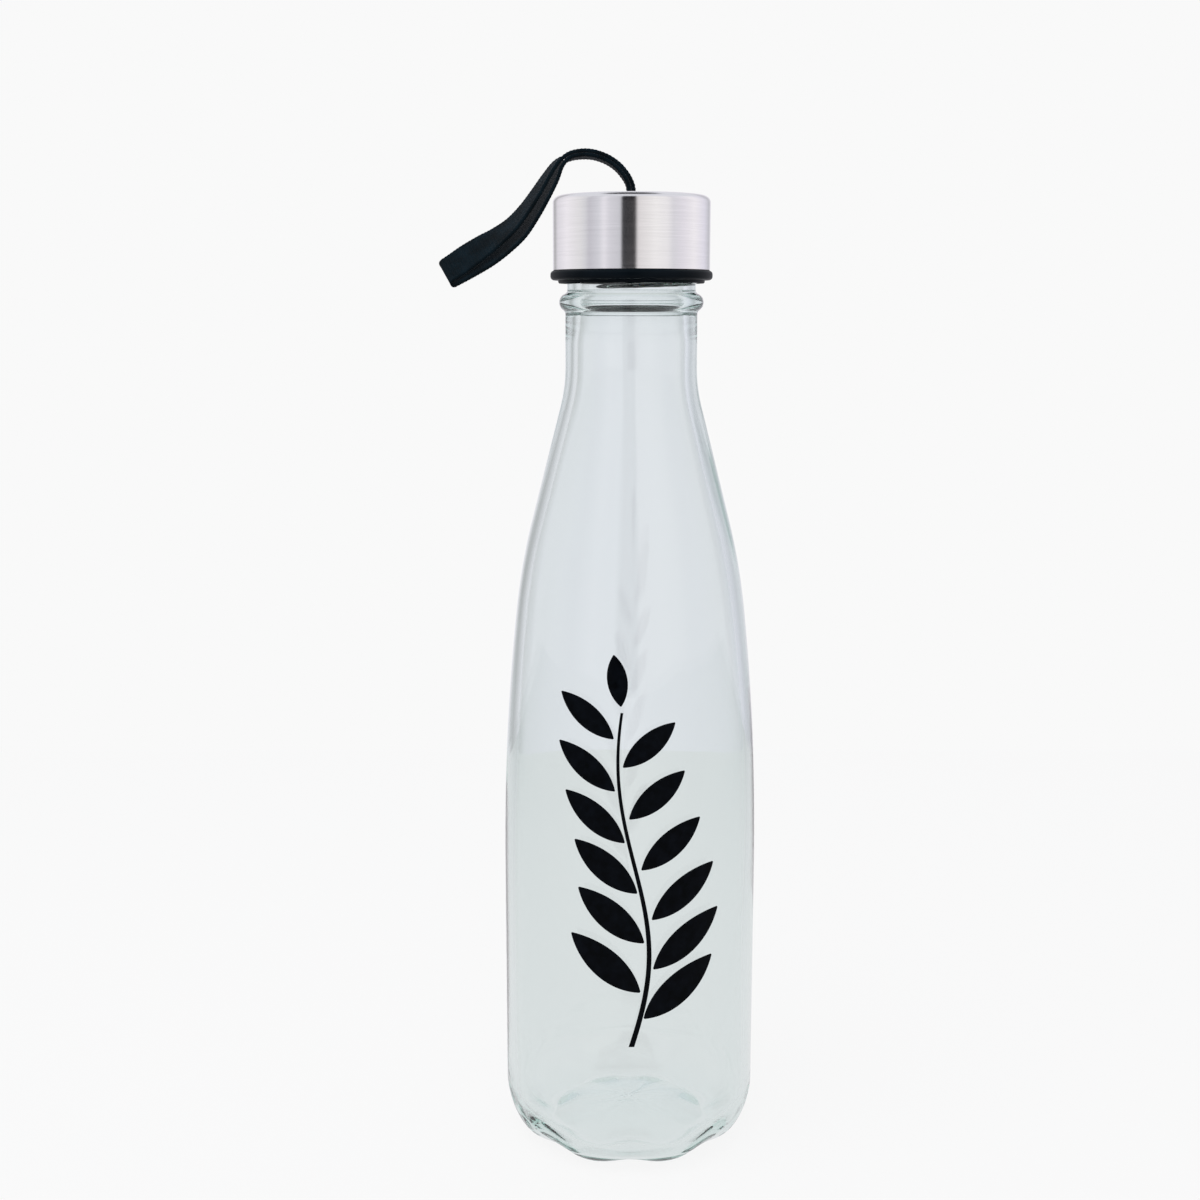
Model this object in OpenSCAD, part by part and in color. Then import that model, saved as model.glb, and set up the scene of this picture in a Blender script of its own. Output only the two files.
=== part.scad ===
// Half-litre glass water bottle with a fluted heel, and a steel-clad screw cap with a webbing carry loop.
// Millimetres. The origin is the centre of the base, on the plane the bottle stands on, and +Z is up.

/* [Glass body] */
// Outside diameter of the body
body_d = 69.6; // [64:0.2:84]
// Height of the straight body wall above the base
body_top = 80; // [60:1:110]
// Wall thickness of the body
wall = 2.8; // [2:0.1:3.6]
// Length of the straight neck, up to the bead
neck_len = 14.5; // [8:0.5:24]
// Slope of the shoulder cone, from vertical
cone_angle = 14.3; // [12:0.1:18]

/* [Heel and base] */
// Height of the rounded heel
heel_h = 15; // [12:0.5:20]
// Width of the rounded heel
heel_w = 10; // [8:0.5:12]
// Number of flutes round the heel
flute_count = 8; // [5:1:10]
// Depth of a flute at the foot
flute_depth = 3; // [1:0.1:3.6]
// Radius of a flute across
flute_r = 9; // [6:0.5:10]
// Width of the narrowest part of the ring that the bottle stands on
land_w = 1; // [0.6:0.1:2]
// Rise of the push-up in the base
punt_h = 3.5; // [1:0.5:5]
// Thickness of the glass over the push-up
floor_t = 4.3; // [3.5:0.1:7]
// Thickness of the glass at the foot
foot_t = 3.4; // [2.8:0.1:5]

/* [Neck finish] */
// Outside diameter of the neck between the threads
finish_d = 34; // [28:0.2:41]
// Thickness of the glass at the mouth
finish_wall = 3; // [2.4:0.1:3.6]
// How far the straight neck stands out of the finish
neck_step = 0.5; // [0.3:0.1:0.8]
// Height from the bead to the start of the thread
bead_gap = 2.1; // [1.6:0.1:4]
// Height from the end of the thread to the lip
lip_gap = 3.2; // [2.6:0.1:4]
// Radius of the bead's section
bead_r = 2.45; // [1.8:0.05:3]
// How far the bead stands out of the straight neck
bead_out = 1.6; // [0.8:0.1:2]
// Thread pitch
pitch = 4.23; // [3.5:0.01:5.1]
// Thread height
thread_h = 1.2; // [0.9:0.05:1.4]
// Turns of thread on the glass
glass_turns = 2.5; // [2:0.1:2.6]
// Turns of thread in the cap
cap_turns = 1.2; // [0.8:0.1:1.5]

/* [Cap] */
// Thickness of the steel shell
shell_t = 0.5; // [0.3:0.1:0.8]
// Radius of the shell's top edge
shell_edge = 1.8; // [1:0.1:2.4]
// Thickness of the inner cap's skirt
skirt_t = 1.65; // [1.4:0.05:2.2]
// Gap between the bead and the cap
skirt_gap = 2.5; // [1.5:0.1:4]
// Height of the flange under the shell
flange_h = 2.5; // [2:0.1:3.2]
// How far the flange stands out of the shell
flange_out = 0.7; // [0.4:0.1:1.2]
// Height of the lip under the flange
skirt_lip_h = 0.8; // [0.5:0.1:1.4]
// Thickness of the inner cap's top plate
plate_t = 1.5; // [1.2:0.1:2]
// Thickness of the sealing ring
seal_t = 1.5; // [1:0.1:2]
// Running clearance between the cap and the neck
clear = 0.3; // [0.2:0.05:0.5]

/* [Carry loop] */
// Width of the webbing
web_w = 10; // [8:0.5:12]
// Thickness of the webbing
web_t = 1.4; // [1:0.05:1.7]
// Diameter of the pin that holds the webbing in the cap
pin_d = 2; // [1.6:0.1:2.4]
// Length of the pin
pin_len = 16; // [14:0.5:18]
// Clearance of the webbing in the cap's slot
slot_clear = 0.5; // [0.3:0.1:0.8]

/* [Printed motif] */
// Thickness of the ink
ink_t = 0.05; // [0.03:0.01:0.2]
// Height of the sprig's lower end
sprig_base = 38; // [25:1:40]
// Height of the sprig
sprig_h = 105; // [90:1:110]
// Length of the largest leaf
leaf_len = 25; // [18:1:27]

/* [Hidden] */
$fn = 72;
eps = 0.01;

// Glass outline. Arcs run from vertical at the body to the cone, and back to vertical at the neck.
body_r = body_d / 2;
finish_r = finish_d / 2;
neck_r = finish_r + neck_step;
mouth_r = finish_r - finish_wall;
foot_r = body_r - heel_w;
valley_r = foot_r - flute_depth;
punt_r = valley_r - land_w;
belly_arc = 640;      // from the straight wall to the knee
belly_angle = 6.3;
shoulder_arc = 175;   // from the knee to the cone
neck_arc = 41;        // from the cone to the straight neck
lip_edge = 1;         // rounding of the lip
neck_taper = 8;       // from the mouth's diameter to the neck's own inside

belly_z = body_top + belly_arc * sin(belly_angle);
belly_end_r = body_r - belly_arc * (1 - cos(belly_angle));
shoulder_z = belly_z + shoulder_arc * (sin(cone_angle) - sin(belly_angle));
shoulder_r = belly_end_r - shoulder_arc * (cos(belly_angle) - cos(cone_angle));
cone_end_r = neck_r + neck_arc * (1 - cos(cone_angle));
cone_z = shoulder_z + (shoulder_r - cone_end_r) / tan(cone_angle);
neck_z = cone_z + neck_arc * sin(cone_angle);
bead_z = neck_z + neck_len + bead_r;
bead_c = neck_r + bead_out - bead_r;
bead_half = sqrt(bead_r * bead_r - pow(neck_r - bead_c, 2));
bead_top = bead_z + sqrt(bead_r * bead_r - pow(finish_r - bead_c, 2));
glass_thread_z = bead_top + bead_gap;
lip_z = glass_thread_z + pitch * glass_turns + lip_gap;

// Cap, stacked up from the lip, and down to the gap over the bead.
bore_r = finish_r + thread_h + clear;
skirt_r = bore_r + skirt_t;
glue_gap = 0.05;
shell_in = skirt_r + glue_gap;
shell_r = shell_in + shell_t;
flange_r = shell_r + flange_out;
plate_z = lip_z + seal_t;
pocket_z = plate_z + plate_t;
wrap_r = pin_d / 2 + web_t + 0.05;
pocket_h = 2 * wrap_r + 0.7;
shell_under = pocket_z + pocket_h;
cap_top = shell_under + shell_t;
skirt_z = bead_top + skirt_gap;
flange_z = skirt_z + skirt_lip_h;
flange_top = flange_z + flange_h;
seal_out = bore_r - clear / 2;
seal_in = mouth_r - 0.8;

// Threads. Both follow one helix, with the cap's ridge just under the ridge on the glass.
thread_root = 2.3;
thread_crest = 0.9;
thread_play = 0.25;
thread_start = -131;  // where the thread on the glass starts, round the neck
thread_drop = (thread_root + thread_crest) / 2 + thread_play;
cap_thread_z = skirt_z + thread_root / 2 + 0.7;
cap_thread_start = thread_start + 360 * (cap_thread_z + thread_drop - glass_thread_z) / pitch;

// Carry loop. The webbing goes round the pin, up through the slot and round in a loop of two layers.
pin_z = pocket_z + wrap_r + 0.2;
stack_t = 2 * web_t + 0.1;
slot_w = stack_t + 2 * slot_clear;
slot_len = web_w + 2 * slot_clear + 0.4;
tail_top = cap_top + 0.5;
hinge_r = stack_t / 2 + 0.05;
hinge_z = tail_top + clear + hinge_r;
GAP_MAX = 1.1;        // widest gap between the two layers
rim_gap = 1.4;        // from the webbing to the side of the cap
rim_reach = shell_r + (stack_t + GAP_MAX) / 2 + rim_gap;
SHAPE = [  // x as a share of the reach at the cap's rim, and height over the hinge, down the loop's middle
    [0, 0], [-0.015, 1.2], [-0.039, 2.5], [-0.124, 4.9], [-0.249, 6.9], [-0.398, 8.3],
    [-0.539, 8.6], [-0.664, 7.6], [-0.78, 5.3], [-0.896, 2.5], [-1, -1.7], [-1.085, -4.9],
    [-1.183, -7.9], [-1.295, -10.7], [-1.373, -12.7], [-1.454, -14.6], [-1.583, -17.1],
    [-1.714, -19.2], [-1.851, -21.05], [-1.967, -22.3]
];
ROUTE = [for (p = SHAPE) [p[0] * rim_reach, p[1]]];
last = len(ROUTE) - 1;
TWIST_FROM = 11;      // route point where the webbing starts to turn
TWIST_END = 38;       // its turn at the far end of the loop
STEPS = 3;            // rings between route points

// Points along an arc: centre, radius, first and last angle.
function arc(c, r, a0, a1, n = 12) =
    [for (i = [0:n]) let (a = a0 + (a1 - a0) * i / n) [c[0] + r * cos(a), c[1] + r * sin(a)]];

// Points along a quarter of an ellipse, from its lowest point to its widest.
function quarter(c, rx, ry, n = 10) =
    [for (i = [0:n]) let (a = -90 + 90 * i / n) [c[0] + rx * cos(a), c[1] + ry * sin(a)]];

// The wall from the top of the heel to the straight neck, taken inwards by t.
function wall_line(t) = concat(
    [[body_r - t, body_top]],
    arc([body_r - belly_arc, body_top], belly_arc - t, 0, belly_angle, 10),
    arc([belly_end_r - shoulder_arc * cos(belly_angle), belly_z - shoulder_arc * sin(belly_angle)],
        shoulder_arc - t, belly_angle, cone_angle, 8),
    arc([neck_r + neck_arc, neck_z], neck_arc + t, 180 + cone_angle, 180, 8)
);

bead_a0 = -acos((neck_r - bead_c) / bead_r);
bead_a1 = acos((finish_r - bead_c) / bead_r);
mouth_end = bead_z - bead_half;

GLASS_OUTSIDE = concat(
    quarter([foot_r, heel_h], heel_w, heel_h),
    wall_line(0),
    arc([bead_c, bead_z], bead_r, bead_a0, bead_a1, 14),
    arc([finish_r - lip_edge, lip_z - lip_edge], lip_edge, 0, 90, 5)
);

function reversed(list) = [for (i = [len(list) - 1:-1:0]) list[i]];

heel_less = 1.6;      // how much narrower the rounded heel is inside than outside
cut = 1;              // how far a cut runs out past a face
inner_heel = heel_w - heel_less;
inner_foot = body_r - wall - inner_heel;
floor_z = punt_h + floor_t;
FLOOR_LINE = [for (i = [0:5]) let (r = inner_foot * (5 - i) / 6)
    [r, foot_t + (floor_z - foot_t) * (1 - pow(r / inner_foot, 2))]];
GLASS_INSIDE = concat(
    arc([mouth_r + lip_edge, lip_z - lip_edge], lip_edge, 90, 180, 5),
    [[mouth_r, mouth_end], [neck_r - wall, mouth_end - neck_taper]],
    reversed(wall_line(wall)),
    reversed(quarter([inner_foot, heel_h], inner_heel, heel_h - foot_t)),
    FLOOR_LINE,
    [[0, lip_z + cut], [mouth_r + lip_edge, lip_z + cut]]
);

// A ridge wound round the Z axis. side is 1 for a thread on the outside of a neck and -1 for one in a bore.
module thread_ridge(r, side, z0, turns, per_turn = 40) {
    sink = 0.4;
    n = ceil(turns * per_turn);
    run_out = 9;
    root = thread_root / 2 + 0.3;
    crest = thread_crest / 2;
    section = [[-sink, -root], [0.7 * thread_h, -crest - 0.2], [thread_h, -crest],
               [thread_h, crest], [0.7 * thread_h, crest + 0.2], [-sink, root]];
    k = len(section);
    points = [for (i = [0:n]) let (
            a = 360 * turns * i / n,
            z = z0 + pitch * turns * i / n,
            fade = min(1, 0.12 + 0.88 * min(i, n - i) / run_out)
        ) for (p = section) let (
            out = p[0] < 0 ? p[0] : p[0] * fade,
            rr = r + side * out
        ) [rr * cos(a), rr * sin(a), z + p[1] * (0.5 + 0.5 * fade)]];
    sides = [for (i = [0:n - 1], j = [0:k - 1]) let (
            a = i * k + j, b = i * k + (j + 1) % k
        ) each [[a, b, b + k], [a, b + k, a + k]]];
    ends = [[for (j = [k - 1:-1:0]) j], [for (j = [0:k - 1]) n * k + j]];
    faces = concat(sides, ends);
    polyhedron(points, side > 0 ? faces : [for (f = faces) reversed(f)]);
}

// A flute as a bent round bar, grown by some thickness of glass where it shapes the inside.
module flutes(grow) {
    over = 0.1;
    a = body_r + over - valley_r;
    r = (a * a + heel_h * heel_h) / (2 * a);
    for (i = [0:flute_count - 1]) rotate([0, 0, 90 + i * 360 / flute_count])
        translate([body_r + over - r, 0, heel_h])
            rotate([90, 0, 0])
                rotate_extrude(start = -100, angle = 100)
                    translate([r + flute_r, 0])
                        circle(flute_r + grow);
}

module punt() {
    r = (punt_r * punt_r + punt_h * punt_h) / (2 * punt_h);
    translate([0, 0, punt_h - r]) sphere(r, $fn = 120);
}

module bottle_glass() {
    color([0.80, 0.88, 0.86, 0.45])
    union() {
        difference() {
            rotate_extrude() polygon(concat([[0, 0]], GLASS_OUTSIDE, [[0, lip_z]]));
            flutes(0);
            punt();
            difference() {
                rotate_extrude() polygon(GLASS_INSIDE);
                flutes(wall);
            }
        }
        rotate([0, 0, thread_start]) thread_ridge(finish_r, 1, glass_thread_z, glass_turns);
    }
}

// A leaf as the overlap of two circles, from the origin along +Y.
module leaf(length, width) {
    r = (length * length / 4 + width * width / 4) / width;
    intersection() {
        translate([r - width / 2, length / 2]) circle(r);
        translate([width / 2 - r, length / 2]) circle(r);
    }
}

function stem_x(t) = 5 * sin(360 * t) * (1 - 0.35 * t);

module sprig() {
    pairs = 6;
    stem_w = 1.5;
    for (i = [0:pairs - 1]) let (
            t = 0.1 + 0.78 * i / pairs,
            size = leaf_len * (1 - 0.38 * t)
        ) for (side = [-1, 1]) let (u = t + 0.035 * side)
            translate([stem_x(u), sprig_base + sprig_h * u])
                rotate(side * -50)
                    translate([0, stem_w]) leaf(size, size * 0.34);
    translate([stem_x(0.86), sprig_base + sprig_h * 0.86])
        rotate(8) translate([0, stem_w]) leaf(sprig_h * 0.13, sprig_h * 0.05);
    polygon(concat(
        [for (i = [0:24]) let (t = 0.86 * i / 24)
            [stem_x(t) - stem_w / 2 * (1 - 0.6 * t), sprig_base + sprig_h * t]],
        [for (i = [24:-1:0]) let (t = 0.86 * i / 24)
            [stem_x(t) + stem_w / 2 * (1 - 0.6 * t), sprig_base + sprig_h * t]]
    ));
}

module printed_motif() {
    skin = concat([[body_r, heel_h]], wall_line(0));
    color([0.03, 0.03, 0.04])
    intersection() {
        rotate_extrude() polygon(concat(skin, [for (p = reversed(skin)) [p[0] + ink_t, p[1]]]));
        translate([0, -mouth_r, 0]) rotate([90, 0, 0]) linear_extrude(body_r) sprig();
    }
}

module slot_2d(length, width) {
    square([width, length - width], center = true);
    for (s = [-1, 1]) translate([0, s * (length - width) / 2]) circle(width / 2);
}

module cap_shell() {
    edge_in = shell_edge - shell_t;
    color([0.78, 0.77, 0.76])
    difference() {
        rotate_extrude() polygon(concat(
            [[shell_in, flange_top], [shell_r, flange_top]],
            arc([shell_r - shell_edge, cap_top - shell_edge], shell_edge, 0, 90, 8),
            [[0, cap_top], [0, shell_under]],
            arc([shell_in - edge_in, shell_under - edge_in], edge_in, 90, 0, 8)
        ));
        translate([0, 0, shell_under - 1]) linear_extrude(shell_t + 2) slot_2d(slot_len, slot_w);
    }
}

// The inner cap's outside, from the lip under the flange to its top.
module inner_cap_body() {
    edge = 1;
    top_edge = shell_edge - shell_t + 0.4;
    step_r = skirt_r - 0.8;
    rotate_extrude() polygon(concat(
        [[0, skirt_z], [step_r - 0.4, skirt_z], [step_r, skirt_z + 0.4], [step_r, flange_z]],
        arc([flange_r - edge, flange_z + edge], edge, -90, 0, 5),
        arc([flange_r - edge, flange_top - edge], edge, 0, 90, 5),
        [[skirt_r, flange_top]],
        arc([skirt_r - top_edge, shell_under - top_edge], top_edge, 0, 90, 5),
        [[0, shell_under]]
    ));
}

module inner_cap() {
    rim_t = 2.4;
    rib_t = 1.2;
    saddle_t = 3;
    saddle_y = web_w / 2 + 0.6;
    well_r = skirt_r - rim_t;
    color([0.04, 0.04, 0.05])
    union() {
        difference() {
            inner_cap_body();
            translate([0, 0, skirt_z - eps]) cylinder(h = plate_z - skirt_z + eps, r = bore_r);
            translate([0, 0, pocket_z]) cylinder(h = pocket_h + eps, r = well_r);
        }
        rotate([0, 0, cap_thread_start]) thread_ridge(bore_r, -1, cap_thread_z, cap_turns);
        for (i = [0:7]) rotate([0, 0, 22.5 + 45 * i])
            translate([well_r - 4.5, -rib_t / 2, pocket_z - eps])
                cube([5, rib_t, pocket_h - 1]);
        for (s = [-1, 1]) translate([0, s * (saddle_y + saddle_t / 2), 0])
            difference() {
                translate([-3, -saddle_t / 2, pocket_z - eps])
                    cube([6, saddle_t, pin_z + 0.6 - pocket_z]);
                translate([0, -saddle_t, pin_z]) rotate([-90, 0, 0])
                    cylinder(h = 2 * saddle_t, r = pin_d / 2 + 0.05);
                translate([-pin_d / 2 - 0.05, -saddle_t, pin_z])
                    cube([pin_d + 0.1, 2 * saddle_t, 4]);
            }
    }
}

module seal_ring() {
    color([0.86, 0.86, 0.84])
    translate([0, 0, lip_z + glue_gap])
        difference() {
            cylinder(h = seal_t - 2 * glue_gap, r = seal_out);
            translate([0, 0, -1]) cylinder(h = seal_t + 2, r = seal_in);
        }
}

module strap_pin() {
    color([0.70, 0.70, 0.70])
    translate([0, -pin_len / 2, pin_z]) rotate([-90, 0, 0]) cylinder(h = pin_len, r = pin_d / 2);
}

module strap_tail() {
    color([0.02, 0.04, 0.06])
    difference() {
        union() {
            translate([0, -web_w / 2, pin_z]) rotate([-90, 0, 0]) cylinder(h = web_w, r = wrap_r);
            translate([-stack_t / 2, -web_w / 2, pin_z]) cube([stack_t, web_w, tail_top - pin_z]);
        }
        translate([0, -web_w, pin_z]) rotate([-90, 0, 0]) cylinder(h = 2 * web_w, r = pin_d / 2 + 0.02);
    }
}

// A smooth curve through the route's points.
function spline(p0, p1, p2, p3, t) =
    0.5 * (2 * p1 + (p2 - p0) * t + (2 * p0 - 5 * p1 + 4 * p2 - p3) * t * t
        + (3 * p1 - p0 - 3 * p2 + p3) * t * t * t);

function on_route(u) = let (
        i = min(last - 1, floor(u)),
        before = i > 0 ? ROUTE[i - 1] : 2 * ROUTE[0] - ROUTE[1],
        after = i + 2 <= last ? ROUTE[i + 2] : 2 * ROUTE[last] - ROUTE[last - 1]
    ) spline(before, ROUTE[i], ROUTE[i + 1], after, u - i);
function along(u) = let (d = on_route(min(last, u + 0.01)) - on_route(max(0, u - 0.01))) d / norm(d);

function ease(t) = t * t * (3 - 2 * t);
function twist_at(u) = TWIST_END * pow(max(0, (u - TWIST_FROM) / (last - TWIST_FROM)), 2);
function stack_at(u) = stack_t + GAP_MAX * sin(180 * ease(u / last));

// One ring of the loop: a flat section with chamfered corners, turned by the twist. grow is 1 along its
// length and less at the fold, where the section closes.
function strap_ring(u, push, grow) = let (
        c = on_route(u) + push * along(u),
        d = along(u),
        up = [-d[1], 0, d[0]] * -1,
        a = twist_at(u),
        wide = [0, cos(a), 0] + up * sin(a),
        thick = up * cos(a) - [0, sin(a), 0],
        w = web_w / 2,
        t = stack_at(u) / 2 * grow,
        ch = 0.35 * grow,
        q = [[-w, -t + ch], [-w + ch, -t], [w - ch, -t], [w, -t + ch],
             [w, t - ch], [w - ch, t], [-w + ch, t], [-w, t - ch]]
    ) [for (p = q) [c[0], 0, hinge_z + c[1]] + p[0] * wide + p[1] * thick];

module strap_loop() {
    n = last * STEPS;
    half = stack_t / 2;
    // The far end is rounded about the fold.
    rings = concat(
        [for (i = [0:n]) strap_ring(i / STEPS, 0, 1)],
        [for (a = [25, 50, 80]) strap_ring(last, half * sin(a), cos(a))]
    );
    k = 8;
    m = len(rings) - 1;
    sides = [for (i = [0:m - 1], j = [0:k - 1]) let (
            a = i * k + j, b = i * k + (j + 1) % k
        ) each [[a, b, b + k], [a, b + k, a + k]]];
    ends = [[for (j = [k - 1:-1:0]) j], [for (j = [0:k - 1]) m * k + j]];
    color([0.02, 0.04, 0.06])
    union() {
        polyhedron([for (ring = rings) each ring], concat(sides, ends));
        // The lower end is round about the line that the loop swings on.
        translate([0, -web_w / 2 + 0.1, hinge_z]) rotate([-90, 0, 0])
            cylinder(h = web_w - 0.2, r = hinge_r);
    }
}

bottle_glass();
printed_motif();
cap_shell();
inner_cap();
seal_ring();
strap_pin();
strap_tail();
strap_loop();
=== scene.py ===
import math

import bpy
import numpy as np
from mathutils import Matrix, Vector


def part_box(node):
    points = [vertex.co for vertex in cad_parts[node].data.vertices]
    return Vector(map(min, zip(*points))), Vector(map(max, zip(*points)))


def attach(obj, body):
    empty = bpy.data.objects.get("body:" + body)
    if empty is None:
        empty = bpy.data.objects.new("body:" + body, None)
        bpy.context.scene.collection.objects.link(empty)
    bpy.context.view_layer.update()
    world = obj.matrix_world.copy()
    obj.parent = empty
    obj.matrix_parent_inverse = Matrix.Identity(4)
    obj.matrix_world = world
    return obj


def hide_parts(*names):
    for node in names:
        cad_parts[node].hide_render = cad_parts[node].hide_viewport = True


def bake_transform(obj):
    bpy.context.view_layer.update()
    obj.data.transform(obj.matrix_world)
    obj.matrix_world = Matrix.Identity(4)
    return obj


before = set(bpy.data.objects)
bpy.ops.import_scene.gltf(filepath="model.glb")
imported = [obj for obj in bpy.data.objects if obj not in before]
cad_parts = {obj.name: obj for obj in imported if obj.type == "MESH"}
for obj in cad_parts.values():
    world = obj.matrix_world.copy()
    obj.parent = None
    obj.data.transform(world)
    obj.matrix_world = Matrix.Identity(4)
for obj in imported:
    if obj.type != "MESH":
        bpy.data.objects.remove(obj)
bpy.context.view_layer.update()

MM = 0.001
TAU = 2 * math.pi

# ---------------------------------------------------------------- sizes, in millimetres
# The same values as the CAD model's, with its fits worked out in the same order.
BODY_R = 34.8
BODY_TOP = 80.0
WALL = 2.8
CONE_ANGLE = math.radians(14.3)
HEEL_H, HEEL_W = 15.0, 10.0
FLUTES, FLUTE_DEPTH = 8, 3.0
PUNT_H = 3.5
FINISH_R, MOUTH_R, NECK_R = 17.0, 14.0, 17.5
BEAD_R, BEAD_OUT = 2.45, 1.6
PITCH, THREAD_H = 4.23, 1.2
GLASS_TURNS, CAP_TURNS = 2.5, 1.2
THREAD_START = math.radians(-131)
BELLY_ARC, BELLY_ANGLE = 640.0, math.radians(6.3)
SHOULDER_ARC, NECK_ARC = 175.0, 41.0
NECK_LEN = 14.5

FOOT_R = BODY_R - HEEL_W
PUNT_R = FOOT_R - FLUTE_DEPTH - 1.0
BELLY_Z = BODY_TOP + BELLY_ARC * math.sin(BELLY_ANGLE)
BELLY_END = BODY_R - BELLY_ARC * (1 - math.cos(BELLY_ANGLE))
SHOULDER_Z = BELLY_Z + SHOULDER_ARC * (math.sin(CONE_ANGLE) - math.sin(BELLY_ANGLE))
SHOULDER_R = BELLY_END - SHOULDER_ARC * (math.cos(BELLY_ANGLE) - math.cos(CONE_ANGLE))
CONE_END = NECK_R + NECK_ARC * (1 - math.cos(CONE_ANGLE))
CONE_Z = SHOULDER_Z + (SHOULDER_R - CONE_END) / math.tan(CONE_ANGLE)
NECK_Z = CONE_Z + NECK_ARC * math.sin(CONE_ANGLE)
BEAD_Z = NECK_Z + NECK_LEN + BEAD_R
BEAD_C = NECK_R + BEAD_OUT - BEAD_R
BEAD_TOP = BEAD_Z + math.sqrt(BEAD_R ** 2 - (FINISH_R - BEAD_C) ** 2)
THREAD_Z = BEAD_TOP + 2.1
LIP_Z = THREAD_Z + PITCH * GLASS_TURNS + 3.2

BORE_R = FINISH_R + THREAD_H + 0.3
SKIRT_R = BORE_R + 1.65
SHELL_T = 0.5
SHELL_R = SKIRT_R + 0.05 + SHELL_T
FLANGE_R = SHELL_R + 0.7
CAP_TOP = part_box("cap_shell")[1].z / MM
FLANGE_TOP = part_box("cap_shell")[0].z / MM
SKIRT_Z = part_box("inner_cap")[0].z / MM
FLANGE_Z = SKIRT_Z + 0.8
SEAL_LOW, SEAL_HIGH = (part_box("seal_ring")[i].z / MM for i in (0, 1))
PIN_LOW, PIN_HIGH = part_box("strap_pin")
PIN_Z = (PIN_LOW.z + PIN_HIGH.z) / 2 / MM
PIN_R = (PIN_HIGH.z - PIN_LOW.z) / 2 / MM


# ---------------------------------------------------------------- mesh helpers
def new_object(name, verts, faces, material, sharp=35.0):
    mesh = bpy.data.meshes.new(name)
    mesh.from_pydata([tuple(v) for v in np.asarray(verts, float) * MM], [], faces)
    mesh.validate()
    mesh.shade_smooth()
    if sharp:
        mesh.set_sharp_from_angle(angle=math.radians(sharp))
    mesh.materials.append(material)
    ob = bpy.data.objects.new(name, mesh)
    bpy.context.scene.collection.objects.link(ob)
    return ob


def revolved(profile, steps, shift=None, closed=False):
    """Turns a list of (r, z) about Z. shift(i, azimuths) gives the change of radius round ring i."""
    az = np.arange(steps) * TAU / steps
    verts, rings, faces = [], [], []
    for i, (r, z) in enumerate(profile):
        if r < 1e-6:
            rings.append([len(verts)])
            verts.append((0.0, 0.0, z))
            continue
        rr = r + (shift(i, az) if shift else 0.0)
        rr = np.broadcast_to(rr, az.shape)
        rings.append(list(range(len(verts), len(verts) + steps)))
        verts += list(zip(rr * np.cos(az), rr * np.sin(az), np.full(steps, z)))
    pairs = list(zip(rings, rings[1:])) + ([(rings[-1], rings[0])] if closed else [])
    for a, b in pairs:
        for j in range(steps):
            k = (j + 1) % steps
            if len(a) == 1:
                faces.append((a[0], b[k], b[j]))
            elif len(b) == 1:
                faces.append((a[j], a[k], b[0]))
            else:
                faces.append((a[j], a[k], b[k], b[j]))
    return verts, faces


def arc(cx, cy, r, a0, a1, n):
    return [(cx + r * math.cos(a), cy + r * math.sin(a))
            for a in np.linspace(math.radians(a0), math.radians(a1), n + 1)]


def smoothstep(x):
    x = np.clip(x, 0.0, 1.0)
    return x * x * (3 - 2 * x)


def wall_radius(z):
    """Radius of the glass outside, from the top of the heel to the straight neck."""
    z = np.asarray(z, float)
    belly = BODY_R - BELLY_ARC + np.sqrt(BELLY_ARC ** 2 - np.clip(z - BODY_TOP, 0, None) ** 2)
    cz = BELLY_Z - SHOULDER_ARC * math.sin(BELLY_ANGLE)
    cr = BELLY_END - SHOULDER_ARC * math.cos(BELLY_ANGLE)
    knee = cr + np.sqrt(np.clip(SHOULDER_ARC ** 2 - (z - cz) ** 2, 0, None))
    cone = SHOULDER_R - (z - SHOULDER_Z) * math.tan(CONE_ANGLE)
    neck = NECK_R + NECK_ARC - np.sqrt(np.clip(NECK_ARC ** 2 - (NECK_Z - z) ** 2, 0, None))
    return np.select([z <= BODY_TOP, z <= BELLY_Z, z <= SHOULDER_Z, z <= CONE_Z, z <= NECK_Z],
                     [BODY_R + 0 * z, belly, knee, cone, neck], NECK_R)


def thread_height(az, z, z0, turns, start, run_out=0.22):
    """Height of a thread ridge over its cylinder at azimuths az and height z."""
    out = np.zeros_like(az)
    base = np.mod(az - start, TAU) / TAU
    for k in range(int(turns) + 1):
        t = base + k
        fade = smoothstep(np.minimum(t, turns - t) / run_out)
        d = np.abs(z - (z0 + PITCH * t))
        ridge = 1 - smoothstep((d - 0.38) / 0.95)
        out = np.maximum(out, np.where((t >= 0) & (t <= turns), fade * ridge, 0))
    return out * THREAD_H


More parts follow.
